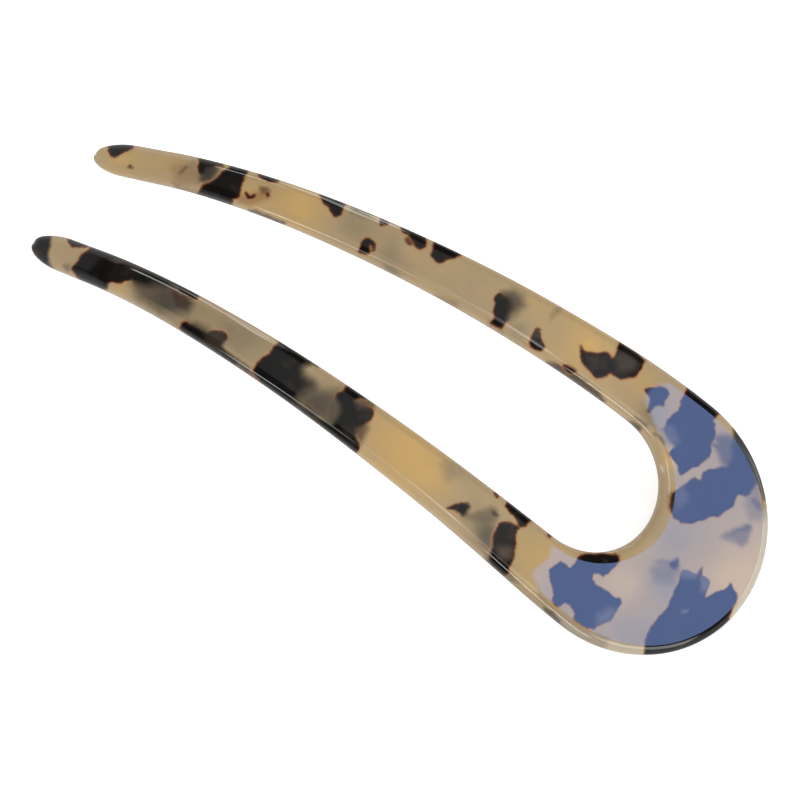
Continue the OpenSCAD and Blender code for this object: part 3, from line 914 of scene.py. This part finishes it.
def ground_colours(n, edge_part):
    """Cream, amber and grey of the legs, with the edges painted paler for light passing through them, and
    the crown's face under its painted blue reflection.
    """
    clouds = n.minus(n.noise(CLOUDS), 0.5)
    streaks = n.minus(n.noise(STREAKS), 0.5)
    drift = n.math("ADD", n.times(clouds, CLOUD_SHARE), n.times(streaks, STREAK_SHARE))
    tone = n.math("ADD", n.attribute("tone"), drift)
    warm, cool = n.slope(tone, 0.0, 1.0), n.slope(tone, 0.0, -1.0)
    cream = n.mix(cool, n.mix(warm, CREAM, AMBER), GREY)
    # Painted light: the edges and walls paler, for light passing through them
    cream = n.mix(n.times(edge_part, EDGE_SHARE), cream, PAINTED_LIGHT_EDGE_CREAM)
    # Painted reflection on the rounded edges at the end of the crown
    cream = n.mix(n.times(edge_part, n.attribute("pale")), cream, PAINTED_EDGE_REFLECTION_GREY)
    # The crown's face: its ground under the painted blue reflection
    return cream, n.mix(cool, n.mix(warm, CREAM_IN_BLUE_REFLECTION, AMBER_IN_BLUE_REFLECTION), GREY_IN_BLUE_REFLECTION)


def patch_masks(n):
    """Where the dark patches, the halo and the rim round them and the rust within them lie."""
    blur = n.attribute("blur")
    ragged = n.times(n.minus(n.noise(RAGS), 0.5), RAG_REACH)
    out_by = n.times(n.minus(0.5, n.attribute("dark")), n.times(blur, 2.0))
    out_by = n.math("ADD", out_by, ragged)
    fade = n.ramp(n.math("DIVIDE", out_by, n.math("MAXIMUM", blur, LEAST_BLUR)), -1.0, 1.0)
    patch = n.minus(1.0, n.times(fade, fade))
    crisp = n.ramp(blur, *CRISP)
    uneven = n.ramp(n.noise(RIM_GAPS), *UNEVEN)
    halo = n.times(n.times(n.ramp(out_by, *HALO), HALO_SHARE), crisp)
    rim = n.times(n.times(n.ramp(out_by, *RIM), crisp), uneven)
    within = n.times(n.ramp(out_by, *DEEP), crisp)
    return patch, halo, rim, within


def acetate_colour(n):
    """Patches with rusty rims and smoky grey, in a few places painted shade and reflection, on the cream of
    the legs; on the crown's face all of it under a painted blue reflection.
    """
    face_part = n.attribute("face_part")
    cream, ground_in_blue_reflection = ground_colours(n, n.minus(1.0, face_part))
    patch, halo, rim, within = patch_masks(n)
    smoke_shade_and_reflection = n.attribute("smoke_shade_and_reflection")
    thin = n.attribute("thin")

    inside = n.mix(n.ramp(n.noise(WEAR), *WORN), BLACK, BLACK_WORN)
    inside = n.mix(n.times(within, DEEP_SHARE), inside, RUST_DEEP)
    inside = n.mix(thin, inside, THIN_BROWN)
    # Smoky grey, in a few places painted shade and reflection on walls and bevels
    leg = n.mix(smoke_shade_and_reflection, cream, SMOKE_SHADE_AND_REFLECTION_GREY)
    leg = n.mix(n.attribute("brown"), leg, RED_BROWN)
    leg = n.mix(halo, leg, RUST_GLOW)
    leg = n.mix(n.times(rim, RIM_SHARE), leg, RUST)
    leg = n.mix(patch, leg, inside)

    # The crown's face: smoky grey, rims and patches under the painted blue reflection
    crown = n.mix(smoke_shade_and_reflection, ground_in_blue_reflection, DARK_IN_BLUE_REFLECTION)
    crown = n.mix(n.times(rim, RIM_IN_BLUE_REFLECTION_SHARE), crown, RIM_IN_BLUE_REFLECTION)
    crown = n.mix(patch, crown, n.mix(thin, DARK_IN_BLUE_REFLECTION, THIN_DARK_IN_BLUE_REFLECTION))
    return n.mix(n.times(n.attribute("blue_reflection_mask"), face_part), leg, crown)


def acetate():
    """Polished tortoiseshell acetate, a little translucent and not quite even."""
    material = bpy.data.materials.new("tortoiseshell_acetate")
    material.use_nodes = True
    n = Nodes(material.node_tree)
    bump = n.add("ShaderNodeBump")
    bump.inputs["Strength"].default_value = 0.02
    bump.inputs["Distance"].default_value = 0.0001
    n.put(n.noise(POLISH_WAVES), bump.inputs["Height"])
    n.shade(
        Base_Color=acetate_colour(n),
        Roughness=n.ramp(n.noise(GLOSS_GRAIN), *GLOSS),
        IOR=1.49,
        Subsurface_Weight=0.2,
        Subsurface_Radius=(1.0, 0.75, 0.5),
        Subsurface_Scale=0.0006,
        Normal=bump.outputs[0],
    )
    return material


def standing(right, up, back, place):
    """The matrix that stands something at a place, looking away from its back."""
    matrix = Matrix.Identity(4)
    for row in range(3):
        matrix[row][0], matrix[row][1], matrix[row][2] = right[row], up[row], back[row]
        matrix[row][3] = place[row]
    return matrix


def put_camera():
    """The photograph's camera."""
    right, up, back = camera_axes()
    camera = bpy.data.objects.new("camera", bpy.data.cameras.new("camera"))
    camera.data.sensor_width = SENSOR_WIDTH
    camera.data.lens = CAMERA_FOCAL_PX * SENSOR_WIDTH / FRAME_PX
    camera.data.clip_start = 0.05
    camera.data.clip_end = 20
    camera.matrix_world = standing(right, up, back, (CAMERA_AIM + back * CAMERA_DISTANCE) * MM)
    bpy.context.scene.collection.objects.link(camera)
    bpy.context.scene.camera = camera


def panel(name, place, size, radiance, along):
    """A soft panel that faces the pin, its first size lying along a direction and fading over it."""
    light = bpy.data.lights.new(name, "AREA")
    light.shape = "RECTANGLE"
    light.size, light.size_y = size
    light.energy = math.pi * size[0] * size[1]
    light.use_nodes = True
    n = Nodes(light.node_tree)
    across = n.add("ShaderNodeSeparateXYZ")
    n.put(n.add("ShaderNodeNewGeometry").outputs["Parametric"], across.inputs[0])
    glow = n.add("ShaderNodeEmission")
    n.put(n.slope(across.outputs[0], 0.0, 1.0, *radiance), glow.inputs["Strength"])
    n.put(glow.outputs[0], n.add("ShaderNodeOutputLight").inputs["Surface"])

    back = Vector(place).normalized()
    first = Vector(along) - Vector(along).dot(back) * back
    first.normalize()
    lamp = bpy.data.objects.new(name, light)
    lamp.matrix_world = standing(first, back.cross(first), back, place)
    lamp.visible_camera = False
    bpy.context.scene.collection.objects.link(lamp)


# Panels of the studio: each one's place and size in metres, its brightness at the two ends of its first
# side, and which way that side runs
PANELS = {
    "above": ((0.10, -0.27, 1.00), (2.0, 0.5), (0.62, 0.25), (1, 0, 0)),
    "front": ((1.15, -0.28, 0.50), (0.95, 0.5), (0.14, 0.06), (0, 0, -1)),
    "side_left": ((0.58, -0.79, 0.20), (0.66, 0.14), (2.0, 5.0), (-0.14, 0.06, 1.0)),
    "side_left_low": ((0.44, -0.89, 0.04), (0.44, 0.10), (4.0, 4.0), (-0.1, 0.1, 1.0)),
    "side_far": ((0.80, -0.575, 0.155), (0.34, 0.08), (5.0, 3.0), (-0.06, -0.03, 0.15)),
    "side_right": ((0.42, 0.80, 0.43), (0.9, 0.10), (1.5, 9.0), (0.43, 0.14, -0.68)),
    "overhead": ((-0.35, 0.42, 0.84), (1.0, 0.08), (1.8, 1.8), (0.82, 0.0, 0.33)),
    "behind": ((-0.50, 0.82, 0.28), (0.60, 0.12), (10.0, 10.0), (0.35, 0.1, 0.9)),
    "behind_low": ((-0.93, 0.34, 0.175), (0.62, 0.30), (4.0, 4.0), (-0.1, -0.6, -0.5)),
    "crown_low": ((-0.68, -0.71, 0.0), (0.80, 0.22), (1.2, 2.2), (0.0, -0.15, -0.55)),
    "gap": ((-0.23, 0.31, 0.93), (0.36, 0.14), (3.5, 3.5), (0.18, -0.14, 0.09)),
    "crown_side": ((-0.76, -0.555, 0.34), (0.50, 0.10), (4.0, 4.0), (0.1, 0.0, 1.0)),
    "under": ((0.0, 0.0, -0.1), (3.0, 3.0), (1.06, 0.06), (1.0, 0.0, 0.0)),
    "crown_end": ((-0.95, -0.34, 0.07), (0.36, 0.10), (3.0, 3.0), (0.3, -0.95, 0.0)),
}
WHITE = (1.0, 1.0, 1.0, 1.0)


def put_light():
    """White surroundings, broad panels above, in front and below, and narrow ones for the edges."""
    world = bpy.data.worlds.new("studio")
    world.use_nodes = True
    background = world.node_tree.nodes["Background"]
    background.inputs["Color"].default_value = WHITE
    background.inputs["Strength"].default_value = 1.0
    world.cycles_visibility.glossy = False
    bpy.context.scene.world = world
    for name, values in PANELS.items():
        panel(name, *values)


FLOOR_RADIUS = 0.09
FLOOR_CORNERS = 96
FLOOR_GREY = (0.92, 0.92, 0.92, 1.0)


def put_floor():
    """A plain pale floor, lit a little from within as a light table is.

    Reflections show the dimmer panel below it instead.
    """
    floor_mesh = bpy.data.meshes.new("floor")
    turns = [2 * math.pi * i / FLOOR_CORNERS for i in range(FLOOR_CORNERS)]
    ring = [(FLOOR_RADIUS * math.cos(a), FLOOR_RADIUS * math.sin(a), 0.0) for a in turns]
    floor_mesh.from_pydata(ring, [], [tuple(range(FLOOR_CORNERS))])
    floor = bpy.data.objects.new("floor", floor_mesh)
    bpy.context.scene.collection.objects.link(floor)
    material = bpy.data.materials.new("pale_floor")
    material.use_nodes = True
    Nodes(material.node_tree).shade(
        Base_Color=FLOOR_GREY,
        Roughness=0.9,
        Specular_IOR_Level=0.1,
        Emission_Color=WHITE,
        Emission_Strength=0.3,
    )
    floor_mesh.materials.append(material)
    floor.visible_glossy = False


bpy.context.scene.view_settings.view_transform = "Standard"
put_camera()
pin = make_pin(cad_box)
pin.data.materials.append(acetate())
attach(pin, "root")
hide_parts("hair_pin")
put_light()
put_floor()
